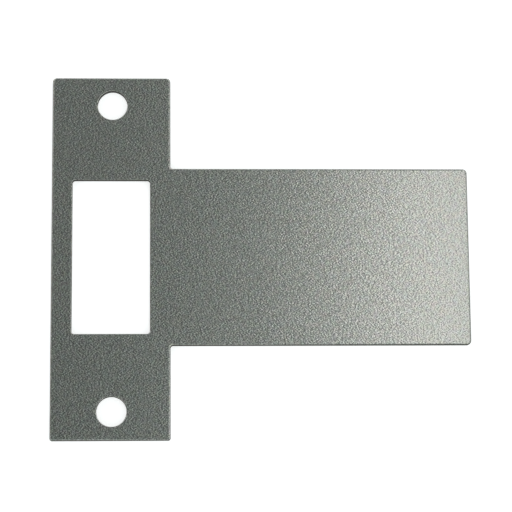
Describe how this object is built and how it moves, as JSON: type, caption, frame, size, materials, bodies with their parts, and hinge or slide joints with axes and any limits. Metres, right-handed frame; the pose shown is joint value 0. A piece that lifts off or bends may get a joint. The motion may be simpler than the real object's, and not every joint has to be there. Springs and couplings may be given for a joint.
{
  "type": "door strike plate",
  "caption": "Flat T-shaped door strike plate of coated steel sheet: a strip with a latch opening between screw holes, and a wide lip that leads the latch bolt in.",
  "frame": {"origin": "midway between the two screw holes, on the plate's back face", "axes": "+X from the screw holes towards the end of the lip, +Y along the strip, +Z out of the face that shows when the plate is fitted"},
  "size_m": [0.0798, 0.0698, 0.0015],
  "materials": {
    "coated_steel": "silver-grey metallic coating on steel sheet, satin, with a fine sparkle"
  },
  "bodies": {
    "root": {"strike_plate": "coated_steel"}
  },
  "joints": []
}
